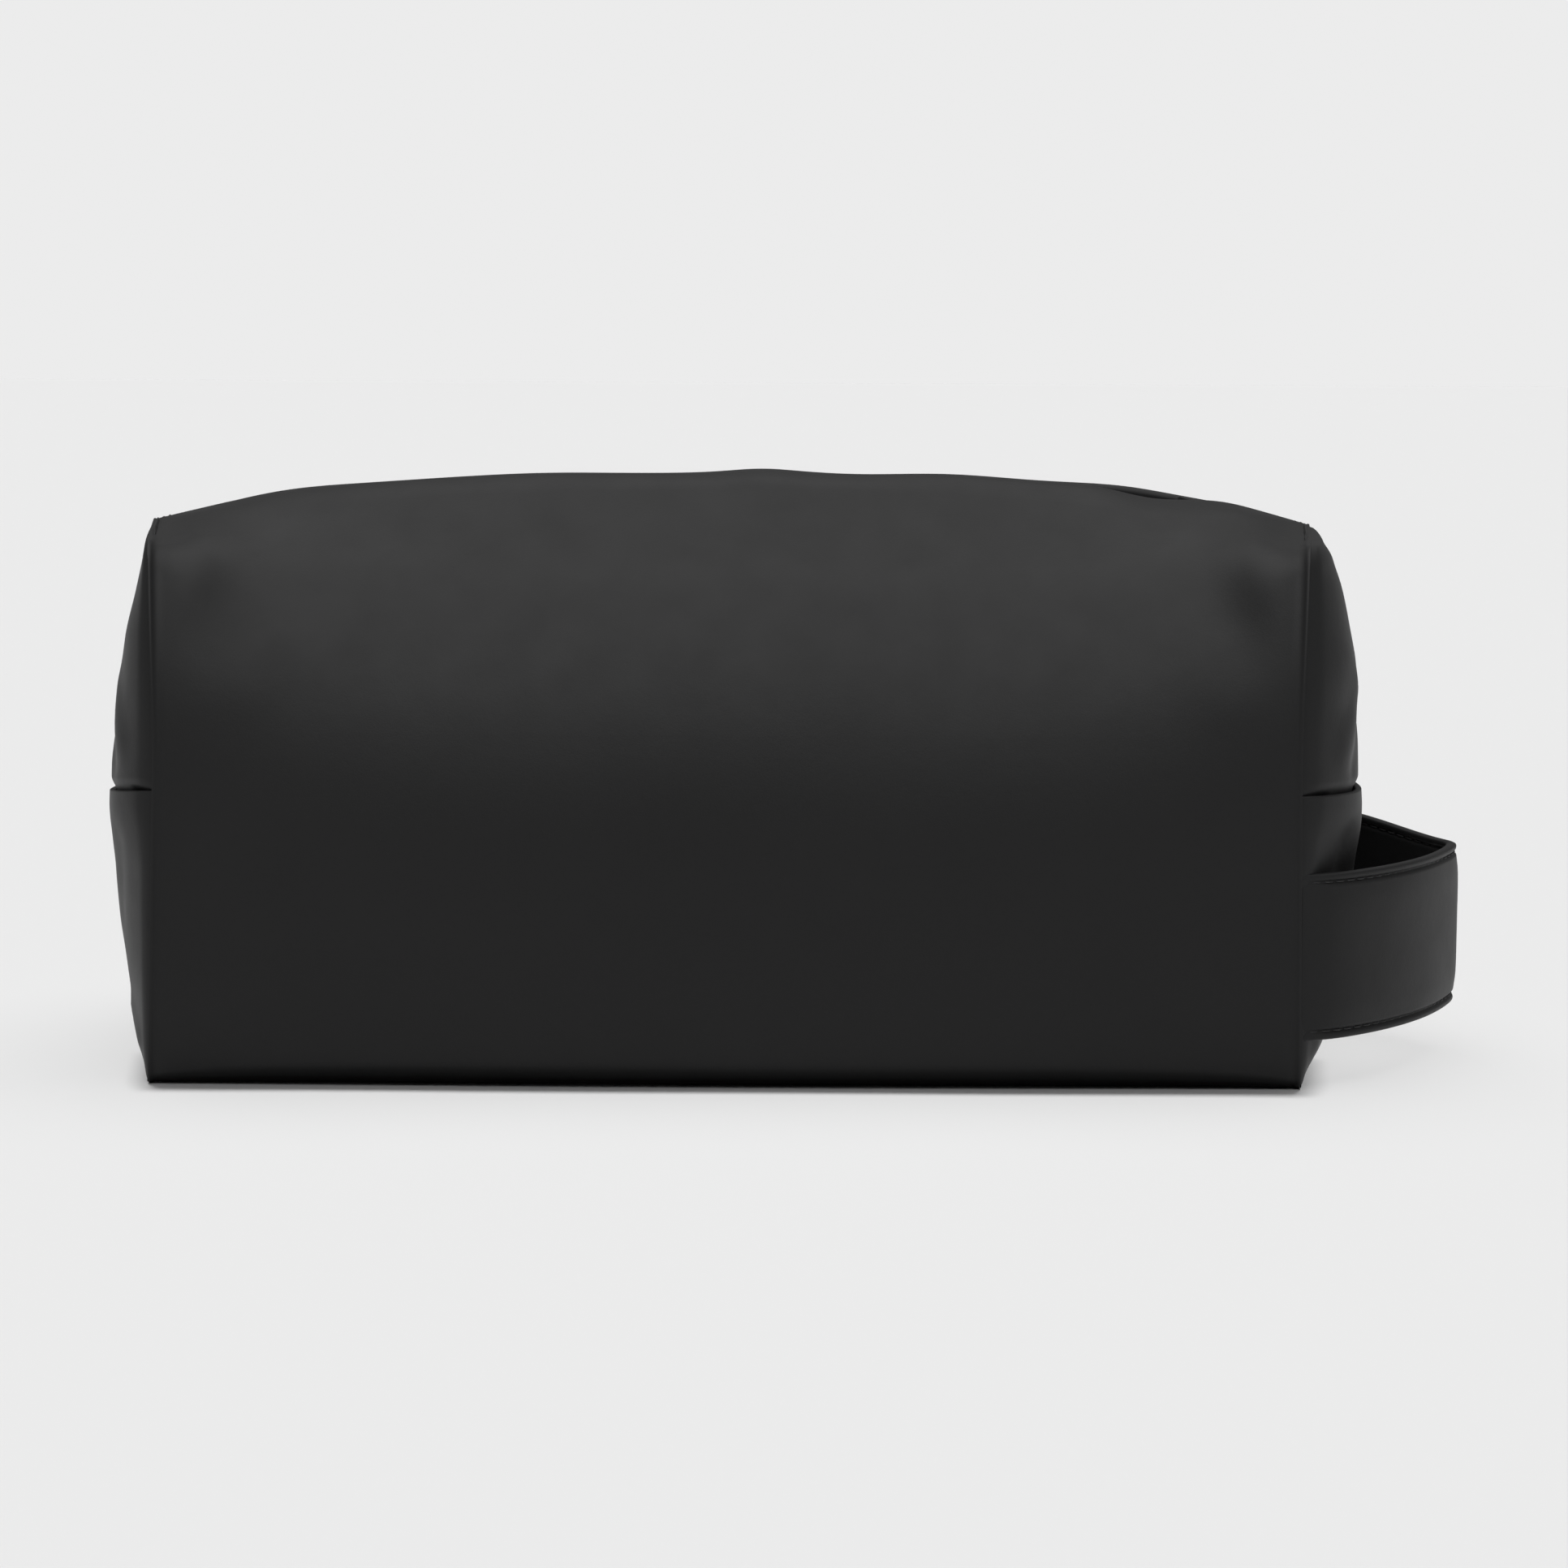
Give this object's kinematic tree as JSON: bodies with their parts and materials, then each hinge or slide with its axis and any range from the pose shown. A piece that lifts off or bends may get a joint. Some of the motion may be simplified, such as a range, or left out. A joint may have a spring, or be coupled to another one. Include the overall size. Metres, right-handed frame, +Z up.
{
  "type": "zipped wash bag",
  "caption": "Soft box-shaped shaving kit bag in matte coated fabric, with a zip along its ridge, lapped end panels and a flat strap loop on one end.",
  "frame": {"origin": "middle of the base, on the surface that the bag stands on", "axes": "+Z up, +X towards the end with the strap loop, -Y towards the front panel"},
  "size_m": [0.3238, 0.118, 0.1382],
  "materials": {
    "coated_fabric": "matte black rubberised coating",
    "lining_fabric": "plain woven black lining",
    "zip_tape": "black woven tape",
    "zip_nylon": "black nylon coil",
    "zip_metal": "black painted die-cast metal",
    "base_stiffener": "plain black sheet"
  },
  "bodies": {
    "bag": {"front_panel": "coated_fabric", "back_panel": "coated_fabric", "base_panel": "coated_fabric", "left_end_lower_panel": "coated_fabric", "left_end_upper_panel": "coated_fabric", "right_end_lower_panel": "coated_fabric", "right_end_upper_panel": "coated_fabric", "strap_front_anchor": "coated_fabric", "strap_rear_anchor": "coated_fabric", "front_lining": "lining_fabric", "back_lining": "lining_fabric", "base_lining": "lining_fabric", "left_end_lining": "lining_fabric", "right_end_lining": "lining_fabric", "left_zip_end": "zip_tape", "right_zip_end": "zip_tape", "left_zip_stop": "zip_metal", "right_zip_stop": "zip_metal", "base_board": "base_stiffener"},
    "front_top": {"front_top_panel": "coated_fabric", "front_top_lining": "lining_fabric", "front_zip_tape": "zip_tape", "front_zip_teeth": "zip_nylon"},
    "back_top": {"back_top_panel": "coated_fabric", "back_top_lining": "lining_fabric", "back_zip_tape": "zip_tape", "back_zip_teeth": "zip_nylon"},
    "slider": {"zip_slider": "zip_metal"},
    "pull": {"zip_pull": "zip_metal"},
    "strap": {"strap_face": "coated_fabric", "strap_backing": "coated_fabric"}
  },
  "joints": [
    {"name": "zip_slide", "type": "slide", "parent": "bag", "child": "slider", "axis": [-1, 0, 0], "range_m": [0, 0.258]},
    {"name": "front_top_hinge", "type": "hinge", "parent": "bag", "child": "front_top", "pos_m": [0, -0.0572, 0.08], "axis": [1, 0, 0], "range_deg": [0, 32.1]},
    {"name": "back_top_hinge", "type": "hinge", "parent": "bag", "child": "back_top", "pos_m": [0, 0.0572, 0.08], "axis": [-1, 0, 0], "range_deg": [0, 32.1]},
    {"name": "pull_hinge", "type": "hinge", "parent": "slider", "child": "pull", "pos_m": [0.1285, 0, 0.1256], "axis": [0, 1, 0], "range_deg": [0, 135]},
    {"name": "strap_swing", "type": "hinge", "parent": "bag", "child": "strap", "pos_m": [0.15, 0, 0.0295], "axis": [0, -1, 0], "range_deg": [-10, 10], "stiffness_Nm_per_rad": 0.1}
  ],
  "couplings": [
    {"joint": "front_top_hinge", "follows": "zip_slide", "rad_per_m": 2.1647},
    {"joint": "back_top_hinge", "follows": "zip_slide", "rad_per_m": 2.1647}
  ]
}
